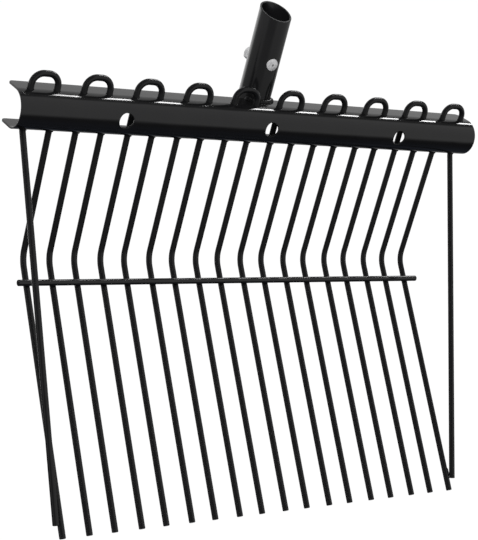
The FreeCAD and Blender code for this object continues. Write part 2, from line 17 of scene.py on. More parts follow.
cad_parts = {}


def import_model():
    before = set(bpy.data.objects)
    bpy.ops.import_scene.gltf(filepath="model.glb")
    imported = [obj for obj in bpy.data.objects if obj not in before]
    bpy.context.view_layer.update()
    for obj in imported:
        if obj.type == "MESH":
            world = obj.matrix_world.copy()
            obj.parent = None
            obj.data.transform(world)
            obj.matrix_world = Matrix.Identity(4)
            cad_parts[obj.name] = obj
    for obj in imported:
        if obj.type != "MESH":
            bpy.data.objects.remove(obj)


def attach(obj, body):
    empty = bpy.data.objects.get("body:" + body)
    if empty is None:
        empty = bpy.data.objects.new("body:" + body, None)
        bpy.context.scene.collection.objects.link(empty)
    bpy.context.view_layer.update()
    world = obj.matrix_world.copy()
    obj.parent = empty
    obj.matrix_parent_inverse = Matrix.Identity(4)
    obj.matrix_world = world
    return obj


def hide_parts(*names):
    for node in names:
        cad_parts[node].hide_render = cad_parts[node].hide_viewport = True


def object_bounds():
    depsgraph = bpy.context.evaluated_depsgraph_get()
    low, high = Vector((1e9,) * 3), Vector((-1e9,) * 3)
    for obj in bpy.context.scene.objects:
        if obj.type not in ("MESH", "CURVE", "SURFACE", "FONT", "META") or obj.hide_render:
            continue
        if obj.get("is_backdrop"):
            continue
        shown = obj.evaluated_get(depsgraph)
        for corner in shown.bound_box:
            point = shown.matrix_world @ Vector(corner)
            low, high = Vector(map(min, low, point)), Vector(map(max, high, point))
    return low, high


LOG = logging.getLogger("fork")
TAU = math.tau

Faces = list[tuple[int, ...]]
Shape = tuple[list[Vector], Faces]
Colour = tuple[float, float, float]
Span = tuple[float, float]
Material = bpy.types.Material
Node = bpy.types.Node
Object = bpy.types.Object
Socket = bpy.types.NodeSocket


# Materials


class Signal:
    """A value that flows through a material, so that its arithmetic reads as plain expressions."""

    def __init__(self, recipe: "Recipe", socket: Socket) -> None:
        """Wrap an output socket that carries a number."""
        self.recipe = recipe
        self.socket = socket

    def _math(self, operation: str, first: object, second: object) -> "Signal":
        """Add one Math node and take its result."""
        node = self.recipe.node("ShaderNodeMath", {"operation": operation}, {0: first, 1: second})
        return Signal(self.recipe, node.outputs[0])

    def __add__(self, other: object) -> "Signal":
        """Sum."""
        return self._math("ADD", self, other)

    __radd__ = __add__

    def __sub__(self, other: object) -> "Signal":
        """Difference."""
        return self._math("SUBTRACT", self, other)

    def __rsub__(self, other: object) -> "Signal":
        """Difference from a number."""
        return self._math("SUBTRACT", other, self)

    def __mul__(self, other: object) -> "Signal":
        """Product."""
        return self._math("MULTIPLY", self, other)

    __rmul__ = __mul__


class Recipe:
    """The nodes of one material or world."""

    def __init__(self, owner: Material | bpy.types.World) -> None:
        """Start the nodes of a material or world with an empty tree."""
        owner.use_nodes = True
        self.owner = owner
        self.tree = owner.node_tree
        self.tree.nodes.clear()

    def node(
        self,
        kind: str,
        settings: Mapping[str, object] | None = None,
        inputs: Mapping[str | int, object] | None = None,
    ) -> Node:
        """Add a node.

        Args:
            kind: The node's type.
            settings: Its properties, set before its sockets; "stops" holds a ramp's (place, colour) pairs.
            inputs: Numbers, colours, Signals or sockets, by the input's name or number.

        Returns:
            The new node.
        """
        made = self.tree.nodes.new(kind)
        for name, value in (settings or {}).items():
            if name == "stops":
                self._set_stops(made, value)
            else:
                setattr(made, name, value)
        for key, value in (inputs or {}).items():
            target = made.inputs[key]
            if isinstance(value, Signal):
                self.tree.links.new(value.socket, target)
            elif isinstance(value, Socket):
                self.tree.links.new(value, target)
            else:
                target.default_value = value
        return made

    @staticmethod
    def _set_stops(ramp: Node, stops: Sequence[tuple[float, Colour]]) -> None:
        """Give a colour ramp its (place, colour) pairs, which come in rising order."""
        elements = ramp.color_ramp.elements
        while len(elements) < len(stops):
            elements.new(1.0)
        for element, (place, colour) in zip(elements, stops):
            element.position = place
            element.color = (*colour, 1.0)

    def value(
        self, kind: str, output: str, settings: Mapping[str, object] | None = None, **inputs: object
    ) -> Signal:
        """Add a node and take one output as a Signal.

        Args:
            kind: The node's type.
            output: Name of the output.
            settings: Its properties.
            **inputs: Its inputs by name, with spaces written as underscores.

        Returns:
            The output.
        """
        named = {name.replace("_", " "): value for name, value in inputs.items()}
        return Signal(self, self.node(kind, settings, named).outputs[output])

    def place(self) -> Socket:
        """A point's place on the piece."""
        return self.node("ShaderNodeTexCoord").outputs["Object"]

    def noise(self, grain: float, detail: float = 2.0, roughness: float = 0.5) -> Signal:
        """Soft noise around one half, whose features are as large as the grain."""
        layers = {"Detail": detail, "Roughness": roughness}
        return self.value("ShaderNodeTexNoise", "Fac", Vector=self.place(), Scale=1 / grain, **layers)

    def blend(
        self, factor: Signal, first: Colour | Socket, second: Colour | Socket
    ) -> Socket:
        """Mix two colours.

        Args:
            factor: Share of the second colour.
            first: A colour or a socket that carries one.
            second: A colour or a socket that carries one.

        Returns:
            The mixed colour.
        """
        colours = [end if isinstance(end, Socket) else (*end, 1.0) for end in (first, second)]
        inputs = {"Factor": factor, 6: colours[0], 7: colours[1]}
        return self.node("ShaderNodeMix", {"data_type": "RGBA"}, inputs).outputs[2]

    def measure(self, operation: str, first: object, second: object) -> Signal:
        """Compare two vectors by a Vector Math operation that gives a number."""
        node = self.node("ShaderNodeVectorMath", {"operation": operation}, {0: first, 1: second})
        return Signal(self, node.outputs["Value"])

    def rise(self, value: Signal, start: float, end: float) -> Signal:
        """A soft step, from 0 at the start to 1 at the end."""
        settings = {"interpolation_type": "SMOOTHSTEP"}
        limits = {"From_Min": start, "From_Max": end}
        return self.value("ShaderNodeMapRange", "Result", settings, Value=value, **limits)

    def bump(self, height: Signal, depth: float) -> Socket:
        """The normal of a relief, whose height is in units of its depth in metres."""
        inputs = {"Strength": 1.0, "Distance": depth, "Height": height}
        return self.node("ShaderNodeBump", None, inputs).outputs[0]

    def end(self, shader: Node, kind: str = "ShaderNodeOutputMaterial") -> None:
        """Join the shader to an output of the given kind."""
        self.node(kind, None, {"Surface": shader.outputs[0]})

    def surface(self, inputs: Mapping[str, object]) -> Material:
        """End a material with its Principled shader, ready for a slot."""
        self.end(self.node("ShaderNodeBsdfPrincipled", None, inputs))
        return self.owner


class Grip(Enum):
    """How a coat lies on what it covers, as its relief's depth in metres."""

    SHEET = 0.0000008
    WIRE = 0.000001
    WELD = 0.000030


@dataclass(frozen=True)
class PowderCoat:
    """Satin black powder coat: a fine orange peel, with slow changes in sheen and depth of colour."""

    name: str
    grip: Grip
    deep: Colour = (0.0042, 0.0042, 0.0045)
    thin: Colour = (0.0075, 0.0075, 0.0080)
    sheen: float = 0.12
    sheen_swing: float = 0.04
    peel: float = 0.0011
    patch: float = 0.021
    speck: float = 0.22
    specular: float = 0.5

    def material(self) -> Material:
        """Make the material, whose specks are finer and flatter than the peel by the same share."""
        recipe = Recipe(bpy.data.materials.new(self.name))
        patches = recipe.noise(self.patch, detail=4.0)
        peel = recipe.noise(self.peel, detail=2.0, roughness=0.4)
        specks = recipe.noise(self.peel * self.speck, detail=1.0)
        swing = (patches - 0.5) * self.sheen_swing + (specks - 0.5) * self.sheen_swing
        return recipe.surface(
            {
                "Base Color": recipe.blend(patches, self.deep, self.thin),
                "Roughness": swing + self.sheen,
                "Specular IOR Level": self.specular,
                "Normal": recipe.bump(peel + specks * self.speck, self.grip.value),
            }
        )


@dataclass(frozen=True)
class ZincPlate:
    """Dull zinc plate, mottled by its crystals, with painted shade in the dimple of the front head."""

    name: str
    pit: Vector = Vector((0, -0.01425, -0.03636))
    pit_radius: float = 0.0010
    # Colour of the painted shade in the front head's dimple, standing in for the shadow in that recess.
    dimple_shade: Colour = (0.16, 0.16, 0.16)
    bright: Colour = (0.92, 0.92, 0.92)
    dull: Colour = (0.38, 0.38, 0.39)
    crystal: float = 0.0011
    metal: float = 0.3
    roughness: float = 0.46
    roughness_swing: float = 0.3
    relief: float = 0.00003

    def material(self) -> Material:
        """Make the material, whose clouds are larger and whose grain is finer than the crystals."""
        recipe = Recipe(bpy.data.materials.new(self.name))
        scale = 1 / self.crystal
        crystals = recipe.value(
            "ShaderNodeTexVoronoi", "Distance", {"feature": "F1"}, Vector=recipe.place(), Scale=scale
        )
        cloud = recipe.noise(self.crystal * 2.4, detail=3.0)
        grain = recipe.noise(self.crystal * 0.25, detail=2.0)
        mottle = crystals * 0.5 + cloud * 0.7
        # Painted shade: the colour darkens round the front head's dimple, in place of the shadow in that
        # recess.
        off_pit = recipe.measure("DISTANCE", recipe.place(), self.pit)
        unshaded = recipe.rise(off_pit, 0.6 * self.pit_radius, 1.3 * self.pit_radius)
        return recipe.surface(
            {
                "Base Color": recipe.blend(unshaded, self.dimple_shade, recipe.blend(mottle, self.bright, self.dull)),
                "Metallic": self.metal,
                "Roughness": (cloud - 0.5) * self.roughness_swing + self.roughness,
                "Normal": recipe.bump(grain * 0.5 + crystals, self.relief),
            }
        )


@dataclass(frozen=True)
class StudioFloor:
    """White floor, lit from within and barely clouded, on which no shadow shows."""

    name: str
    white: Colour = (1.0, 1.0, 1.0)
    cloud: Colour = (0.99, 0.99, 0.99)
    cloud_size: float = 0.4
    base: Colour = (0.05, 0.05, 0.05)
    glow: float = 0.99
    roughness: float = 0.95

    def material(self) -> Material:
        """Make the material."""
        recipe = Recipe(bpy.data.materials.new(self.name))
        clouds = recipe.noise(self.cloud_size, detail=3.0)
        return recipe.surface(
            {
                "Base Color": (*self.base, 1.0),
                "Emission Color": recipe.blend(clouds, self.white, self.cloud),
                "Emission Strength": self.glow,
                "Roughness": self.roughness,
                "Specular IOR Level": 0.0,
            }
        )


@dataclass
class Finishes:
    """The finishes of the fork's pieces, each made once."""

    sheet: Material = field(default_factory=PowderCoat("coat_sheet", Grip.SHEET).material)
    wire: Material = field(
        default_factory=PowderCoat(
            "coat_wire", Grip.WIRE, sheen=0.22, peel=0.0008, patch=0.012, specular=0.36
        ).material
    )
    bar: Material = field(
        default_factory=PowderCoat("coat_bar", Grip.SHEET, sheen=0.11, patch=0.016).material
    )
    tube: Material = field(
        default_factory=PowderCoat("coat_tube", Grip.SHEET, sheen=0.18, peel=0.0010, patch=0.015).material
    )
    weld: Material = field(
        default_factory=PowderCoat(
            "coat_weld", Grip.WELD, sheen=0.24, peel=0.0007, patch=0.003, specular=0.3
        ).material
    )
    zinc: Material = field(default_factory=ZincPlate("zinc_plate").material)


# Shapes


def add_piece(
    name: str, shape: Shape, material: Material, sharp: float | None = None
) -> Object:
    """Make a smooth mesh object.

    Args:
        name: The piece's name.
        shape: Its points in the fork's frame, and its faces.
        material: Its finish.
        sharp: Edges that turn by more degrees stay sharp; None where all are smooth.

    Returns:
        The object, in the scene.
    """
    points, faces = shape
    mesh = bpy.data.meshes.new(name)
    mesh.from_pydata([tuple(point) for point in points], [], faces)
    mesh.validate()
    mesh.shade_smooth()
    mesh.materials.append(material)
    if sharp is not None:
        mesh.set_sharp_from_angle(angle=math.radians(sharp))
    piece = bpy.data.objects.new(name, mesh)
    bpy.context.scene.collection.objects.link(piece)
    return piece


def hold(piece: Object, slot: str, *nodes: str) -> None:
    """Let a piece ride on the fork in place of the construction's solids, and report it.

    Args:
        piece: The piece.
        slot: Name of the record's material slot; not used.
        *nodes: The solids for which it stands.
    """
    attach(piece, "root")
    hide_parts(*nodes)
    LOG.info("%s: %d faces, for %s", piece.name, len(piece.data.polygons), ", ".join(nodes))


def weigh(piece: Object) -> None:
    """Shade a piece by its larger faces."""
    shade = piece.modifiers.new("shade", "WEIGHTED_NORMAL")
    shade.keep_sharp = True


def soften(piece: Object, width: float, limit: float = 50.0) -> None:
    """Round a piece's sharp edges, as the coat does.

    Args:
        piece: The piece.
        width: Width of the rounding.
        limit: Edges that turn by more degrees are rounded.
    """
    bevel = piece.modifiers.new("edge", "BEVEL")
    bevel.width = width
    bevel.segments = 2
    bevel.limit_method = "ANGLE"
    bevel.angle_limit = math.radians(limit)
    bevel.use_clamp_overlap = False
    weigh(piece)


def round_path(corners: Sequence[Vector], radii: Sequence[float], step: float = 0.08) -> list[Vector]:
    """Straight runs joined by arcs.

    Args:
        corners: The path's ends and its corners between them.
        radii: The bend radius at each inner corner.
        step: Largest turn between two points of an arc.

    Returns:
        The path's points.
    """
    path = [corners[0]]
    for before, corner, after, radius in zip(corners, corners[1:], corners[2:], radii):
        arrive = (corner - before).normalized()
        leave = (after - corner).normalized()
        turn = arrive.angle(leave)
        inward = (leave - arrive * math.cos(turn)).normalized()
        start = corner - arrive * radius * math.tan(turn / 2)
        count = max(3, math.ceil(turn / step))
        for index in range(count + 1):
            angle = turn * index / count
            path.append(start + inward * radius * (1 - math.cos(angle)) + arrive * radius * math.sin(angle))
    path.append(corners[-1])
    return path


def band(ring: int, sides: int) -> Faces:
    """Faces between a ring of points and the next one.

    Args:
        ring: Number of the ring, from 0.
        sides: Points in a ring.

    Returns:
        One face for each side.
    """
    here, there = ring * sides, (ring + 1) * sides
    faces: Faces = []
    for turn in range(sides):
        after = (turn + 1) % sides
        faces.append((here + turn, here + after, there + after, there + turn))
    return faces


def hoop(rings: int, sides: int) -> Faces:
    """Faces of a hoop, whose last ring of points meets its first.

    Args:
        rings: Number of rings.
        sides: Points in a ring.

    Returns:
        The faces.
    """
    faces: Faces = []
    for ring in range(rings):
        here, there = ring * sides, (ring + 1) % rings * sides
        for turn in range(sides):
            after = (turn + 1) % sides
            faces.append((here + turn, there + turn, there + after, here + after))
    return faces


def sweep(path: Sequence[Vector], radii: Sequence[float], sides: int) -> Shape:
    """A round bar along a path, closed by a face at each end.

    Args:
        path: Points of its axis.
        radii: Its radius at each of them.
        sides: Points in a ring.

    Returns:
        Points, in rings of that many, and faces.
    """
    points: list[Vector] = []
    befores, afters = [path[0], *path[:-1]], [*path[1:], path[-1]]
    tangents = [(after - before).normalized() for before, after in zip(befores, afters)]
    side = tangents[0].orthogonal().normalized()
    for index, (centre, radius) in enumerate(zip(path, radii)):
        if index:
            side = tangents[index - 1].rotation_difference(tangents[index]) @ side
        side = (side - tangents[index] * side.dot(tangents[index])).normalized()
        other = tangents[index].cross(side)
        for turn in range(sides):
            angle = TAU * turn / sides
            points.append(centre + (side * math.cos(angle) + other * math.sin(angle)) * radius)
    faces: Faces = [tuple(reversed(range(sides)))]
    for ring in range(len(path) - 1):
        faces.extend(band(ring, sides))
    last = (len(path) - 1) * sides
    faces.append(tuple(range(last, last + sides)))
    return points, faces


def join(parts: Sequence[Shape]) -> Shape:
    """Put several meshes into one.

    Args:
        parts: Points and faces of each.

    Returns:
        All points and faces.
    """
    points: list[Vector] = []
    faces: Faces = []
    for some_points, some_faces in parts:
        start = len(points)
        points.extend(some_points)
        faces.extend(tuple(start + index for index in face) for face in some_faces)
    return points, faces


def revolve(
    profile: Sequence[tuple[float, float]],
    origin: Vector,
    axis: Vector,
    sides: int,
    limit: Callable[[float, float], float] | None = None,
) -> Shape:
    """A turned form, open at its first ring and closed at its last point.

    Args:
        profile: (radius, height) pairs; the last has radius 0.
        origin: Place of height 0.
        axis: Direction of the height.
        sides: Points in a ring.
        limit: Largest radius at an angle and height, for forms with flats.

    Returns:
        Points and faces.
    """
    across = axis.orthogonal().normalized()
    other = axis.cross(across)
    points: list[Vector] = []
    for radius, height in profile[:-1]:
        for turn in range(sides):
            angle = TAU * turn / sides
            reach = radius if limit is None else min(radius, limit(angle, height))
            out = across * math.cos(angle) + other * math.sin(angle)
            points.append(origin + axis * height + out * reach)
    tip = len(points)
    points.append(origin + axis * profile[-1][1])
    rings = len(profile) - 1
    faces: Faces = []
    for ring in range(rings - 1):
        faces.extend(band(ring, sides))
    top = (rings - 1) * sides
    faces.extend((top + turn, top + (turn + 1) % sides, tip) for turn in range(sides))
    return points, faces


# Sub-assemblies


@dataclass(frozen=True)
class Layout:
    """Places that several pieces share."""

    wire_radius: float = 0.0025
    hairpin_count: int = 10
    pitch: float = 0.045
    end_inset: float = 0.0011
    half_spacing: float = 0.0108
    wires_y: float = -0.0218
    underside_z: float = -0.09976
    channel_height: float = 0.0312
    upper_tine: float = 0.1052
    lower_tine: float = 0.21585
    kink_angle: float = math.radians(43.28)
    tube_radius: float = 0.01365
    bore_radius: float = 0.01205
    screw_z: float = -0.03636
    rear_turn: float = math.radians(15)
    side_lean: float = math.radians(19.3)
    sheet: float = 0.0016
    touch_gap: float = 0.0001

    @property
    def kink_z(self) -> float:
        """Height of the inner tines' kinks."""
        return self.underside_z - self.upper_tine

    @property
    def down(self) -> Vector:
        """Direction of the lower tines, towards their tips."""
        return Vector((0, -math.sin(self.kink_angle), -math.cos(self.kink_angle)))

    @property
    def ahead(self) -> Vector:
        """Direction square to the lower tines, towards the load."""
        return Vector((0, -math.cos(self.kink_angle), math.sin(self.kink_angle)))

    def hairpin_x(self, index: int) -> float:
        """Middle of a hairpin along the channel; the two end ones stand a little inward of the pitch."""
        inset = {0: self.end_inset, self.hairpin_count - 1: -self.end_inset}.get(index, 0.0)
        return self.pitch * (index - (self.hairpin_count - 1) / 2) + inset

    def legs(self) -> list[float]:
        """Places of all legs along the channel, from left to right."""
        middles = [self.hairpin_x(index) for index in range(self.hairpin_count)]
        return [middle + side * self.half_spacing for middle in middles for side in (-1, 1)]

    def kink(self, x: float) -> Vector:
        """Kink of an inner tine."""
        return Vector((x, self.wires_y, self.kink_z))


@dataclass
class Unit:
    """A sub-assembly, which knows the shared places and the finishes."""

    layout: Layout
    finishes: Finishes


@dataclass
class HeadChannel(Unit):
    """The bent sheet: round nose in front, open at the back, with leg holes, web holes and tube notches."""

    half_length: float = 0.223
    radius: float = 0.0156
    flange: float = 0.0159
    corner: float = 0.004
    nose_to_wire: float = 0.0145
    leg_hole: float = 0.0028
    web_hole: float = 0.00625
    web_spacing: float = 0.135
    notch: float = 0.01385
    strips: int = 40
    half_crossings: int = 22
    corner_steps: int = 12
    hole_sides: int = 32
    notch_sides: int = 72
    merge: float = 1e-7
    edge: float = 0.00028

    @property
    def centre_y(self) -> float:
        """Centre of the nose, front to back."""
        return self.layout.wires_y - self.nose_to_wire + self.radius

    @property
    def centre_z(self) -> float:
        """Middle height of the channel."""
        return self.layout.underside_z + self.radius

    @property
    def width(self) -> float:
        """Width of the flat blank, from one rear edge round the nose to the other."""
        return 2 * self.flange + math.pi * self.radius

    def unroll(self, y: float, lower: bool = False) -> float:
        """Distance along the sheet from its upper rear edge to a place on the top or underside."""
        across = self.flange - y if y >= 0 else self.flange + self.radius * math.asin(-y / self.radius)
        return self.width - across if lower else across

    def fold(self, x: float, across: float, depth: float) -> Vector:
        """Bend a point of the blank into its place.

        Args:
            x: Place along the channel.
            across: Distance from the upper rear edge.
            depth: Distance under the outer face.

        Returns:
            The point in the fork's frame.
        """
        radius = self.radius - depth
        if across < self.flange:
            y, z = self.flange - across, radius
        elif across > self.width - self.flange:
            y, z = across - self.width + self.flange, -radius
        else:
            angle = (across - self.flange) / self.radius
            y, z = -radius * math.sin(angle), radius * math.cos(angle)
        return Vector((x, self.centre_y + y, self.centre_z + z))

    def outline(self) -> list[Vector]:
        """Points of the blank's edge in order, with its rounded corners."""
        loop = []
        for corner, (sign_x, across) in enumerate(((1, 0.0), (1, self.width), (-1, self.width), (-1, 0.0))):
            middle_x = sign_x * (self.half_length - self.corner)
            middle = Vector((middle_x, self.corner if across == 0.0 else self.width - self.corner))
            for step in range(self.corner_steps + 1):
                angle = math.radians(90 * corner - 90 + 90 * step / self.corner_steps)
                loop.append(middle + Vector((math.cos(angle), math.sin(angle))) * self.corner)
        return loop

    def cutouts(self) -> list[list[Vector]]:
        """Edges of the leg holes, the web holes and the two notches for the tube."""
        around = [TAU * step / self.hole_sides for step in range(self.hole_sides)]
        line = self.layout.wires_y - self.centre_y
        loops = []
        for x in self.layout.legs():
            for lower in (False, True):
                ys = [line + self.leg_hole * math.sin(angle) for angle in around]
                xs = [x + self.leg_hole * math.cos(angle) for angle in around]
                loops.append([Vector((place, self.unroll(y, lower))) for place, y in zip(xs, ys)])
        for step in (-1, 0, 1):
            loop = []
            for angle in around:
                height = self.web_hole * math.sin(angle)
                across = self.flange + self.radius * math.acos(height / self.radius)
                loop.append(Vector((self.web_spacing * step + self.web_hole * math.cos(angle), across)))
            loops.append(loop)
        for lower in (False, True):
            loop = []
            for step in range(self.notch_sides // 2, self.notch_sides + 1):
                angle = TAU * step / self.notch_sides
                y = self.notch * math.sin(angle) - self.centre_y
                loop.append(Vector((self.notch * math.cos(angle), self.unroll(y, lower))))
            beyond = -self.corner if not lower else self.width + self.corner
            loops.append([*loop, Vector((self.notch, beyond)), Vector((-self.notch, beyond))])
        return loops

    def blank(self) -> Shape:
        """Triangles of the flat blank, in strips that bend well.

        Returns:
            Flat points and triangles.
        """
        outline = self.outline()
        cutouts = self.cutouts()
        points: list[Vector] = []
        edges: list[tuple[int, int]] = []
        for loop in [outline, *cutouts]:
            start = len(points)
            points.extend(loop)
            edges.extend((start + index, start + (index + 1) % len(loop)) for index in range(len(loop)))
        bend = math.pi * self.radius
        lines = [self.flange + bend * step / self.strips for step in range(self.strips + 1)]
        lines += [self.flange / 2, self.width - self.flange / 2]
        pairs = [((-self.half_length, across), (self.half_length, across)) for across in lines]
        for step in range(-self.half_crossings, self.half_crossings + 1):
            x = self.half_length * step / (self.half_crossings + 0.5)
            pairs.append(((x, 0.0), (x, self.width)))
        for first, second in pairs:
            edges.append((len(points), len(points) + 1))
            points.extend((Vector(first), Vector(second)))
        flat, _, triangles, *_ = delaunay_2d_cdt(points, edges, [], 0, self.merge)
        kept: Faces = []
        for triangle in triangles:
            centre = sum((flat[index] for index in triangle), Vector((0, 0))) / 3
            if inside(centre, outline) and not any(inside(centre, loop) for loop in cutouts):
                kept.append(tuple(triangle))
        return flat, kept

    def build(self) -> Shape:
        """Bend the blank and give it its thickness.

        Returns:
            Points and faces of the closed sheet.
        """
        flat, triangles = self.blank()
        used = sorted({index for triangle in triangles for index in triangle})
        number = {old: new for new, old in enumerate(used)}
        count = len(used)
        points = [self.fold(*flat[index], 0.0) for index in used]
        points += [self.fold(*flat[index], self.layout.sheet) for index in used]
        faces: Faces = []
        sides: dict[tuple[int, int], None] = {}
        for triangle in triangles:
            a, b, c = (number[index] for index in triangle)
            faces.append((a, b, c))
            faces.append((c + count, b + count, a + count))
            sides.update(dict.fromkeys(((a, b), (b, c), (c, a))))
        for first, second in sides:
            if (second, first) not in sides:
                faces.append((second, first, first + count, second + count))
        return points, faces

    def dress(self) -> None:
        """Make the piece."""
        piece = add_piece("channel", self.build(), self.finishes.sheet)
        soften(piece, self.edge)
        hold(piece, "powder_coat", "head_channel")


def inside(point: Vector, loop: Sequence[Vector]) -> bool:
    """Whether a flat point lies inside a loop.

    Args:
        point: The point.
        loop: The loop's corners.

    Returns:
        True where it lies inside.
    """
    found = False
    for start, end in zip(loop, [*loop[1:], loop[0]]):
        if (start.y > point.y) != (end.y > point.y):
            crossing = start.x + (point.y - start.y) * (end.x - start.x) / (end.y - start.y)
            if point.x < crossing:
                found = not found
    return found


@dataclass
class Hairpin(Unit):
    """One bent wire: a loop above the channel and two legs, whose ends are cut square and chamfered."""

    index: int
    loop_rise: float = 0.0124
    loop_radius: float = 0.009
    kink_radius: float = 0.019
    side_drop: float = 0.0005
    side_radius: float = 0.008
    side_setback: float = 0.010
    chamfer: float = 0.0004
    sides: int = 28

    def inner_leg(self, x: float) -> tuple[list[Vector], list[float]]:
        """Corners of a leg with a kink from the tip up, and the bend radius at the kink."""
        kink = self.layout.kink(x)
        return [kink + self.layout.down * self.layout.lower_tine, kink], [self.kink_radius]

    def side_leg(self, x: float) -> tuple[list[Vector], list[float]]:
        """The outermost leg, which runs straight to the tip of the tine beside it.

        Args:
            x: Its place along the channel.

        Returns:
            Its corners from the tip up, and the bend radius at its bend.
        """
        layout = self.layout
        apart = 2 * layout.wire_radius + layout.touch_gap
        inward = 2 * layout.half_spacing - apart * math.cos(layout.side_lean)
        beside = layout.kink(x - math.copysign(inward, x))
        tip = beside + layout.down * (layout.lower_tine - self.side_setback)
        tip += layout.ahead * apart * math.sin(layout.side_lean)
        return [tip, Vector((x, layout.wires_y, layout.underside_z - self.side_drop))], [self.side_radius]

    def build(self) -> Shape:
        """Bend the wire.

        Returns:
            Points and faces.
        """
        layout = self.layout
        middle = layout.hairpin_x(self.index)
        top = layout.underside_z + layout.channel_height + self.loop_rise
        left, right = middle - layout.half_spacing, middle + layout.half_spacing
        leg, radii = self.side_leg(left) if self.index == 0 else self.inner_leg(left)
        is_last = self.index == layout.hairpin_count - 1
        other_leg, other_radii = self.side_leg(right) if is_last else self.inner_leg(right)
        loop = [Vector((left, layout.wires_y, top)), Vector((right, layout.wires_y, top))]
        corners = leg + loop + other_leg[::-1]
        path = round_path(corners, [*radii, self.loop_radius, self.loop_radius, *other_radii])
        return cut_bar(path, layout.wire_radius, self.chamfer, self.sides)

    def dress(self) -> None:
        """Make the piece."""
        number = f"{self.index + 1:02d}"
        piece = add_piece(f"hairpin_{number}", self.build(), self.finishes.wire, sharp=30)
        hold(piece, "powder_coat", f"tine_hairpin_{number}")


def cut_bar(path: Sequence[Vector], radius: float, chamfer: float, sides: int) -> Shape:
    """A wire whose two ends are cut square, with their edges a little broken.

    Args:
        path: Its axis from end to end.
        radius: Its radius.
        chamfer: Width of the broken edge.
        sides: Points in a ring.

    Returns:
        Points and faces.
    """
    first = (path[1] - path[0]).normalized() * chamfer
    last = (path[-2] - path[-1]).normalized() * chamfer
    stretched = [path[0], path[0] + first, *path[1:-1], path[-1] + last, path[-1]]
    radii = [radius - chamfer, *[radius] * (len(stretched) - 2), radius - chamfer]
    return sweep(stretched, radii, sides)


@dataclass
class Crossbar(Unit):
    """The wire laid across the inner tines, and its welds."""

    radius: float = 0.0025
    overhang: float = 0.0094
    distance: float = 0.0214
    chamfer: float = 0.00035
    weld_radius: float = 0.0023
    weld_depth: float = 0.0013
    half_steps: int = 24
    sides: int = 32
    weld_rings: int = 9
    weld_sides: int = 20

    def centre(self, x: float) -> Vector:
        """Axis of the bar at a place along it."""
        off = self.layout.wire_radius + self.radius + self.layout.touch_gap
        return self.layout.kink(x) + self.layout.down * self.distance + self.layout.ahead * off

    def build(self) -> Shape:
        """Cut the bar to length."""
        half, steps = self.layout.legs()[-2] + self.overhang, self.half_steps
        path = [self.centre(half * step / steps) for step in range(-steps, steps + 1)]
        return cut_bar(path, self.radius, self.chamfer, self.sides)

    def spot(self, index: int, x: float) -> Shape:
        """The metal pressed out round one crossing.

        Args:
            index: Number of the leg.
            x: Its place.

        Returns:
            Points and faces.
        """
        layout = self.layout
        off = layout.wire_radius + layout.touch_gap / 2
        contact = layout.kink(x) + layout.down * self.distance + layout.ahead * off
        points = []
        for ring in range(self.weld_rings + 1):
            slope = math.pi * ring / self.weld_rings
            for turn in range(self.weld_sides):
                angle = TAU * turn / self.weld_sides
                wave = 0.05 * math.sin(3 * angle + index) + 0.03 * math.cos(5 * angle - index)
                reach = self.weld_radius * (1 + wave) * math.sin(slope) ** 0.6
                flat = Vector((math.cos(angle), 0, 0)) + layout.down * math.sin(angle)
                points.append(contact + flat * reach + layout.ahead * self.weld_depth * math.cos(slope))
        faces: Faces = []
        for ring in range(self.weld_rings):
            faces.extend(face[::-1] for face in band(ring, self.weld_sides))
        return points, faces

    def dress(self) -> None:
        """Make the bar and its welds."""
        bar = add_piece("crossbar_wire", self.build(), self.finishes.bar, sharp=30)
        hold(bar, "powder_coat", "crossbar")
        spots = join([self.spot(index, x) for index, x in enumerate(self.layout.legs()[1:-1])])
        welds = add_piece("crossbar_spots", spots, self.finishes.weld)
        hold(welds, "powder_coat", "crossbar_welds")


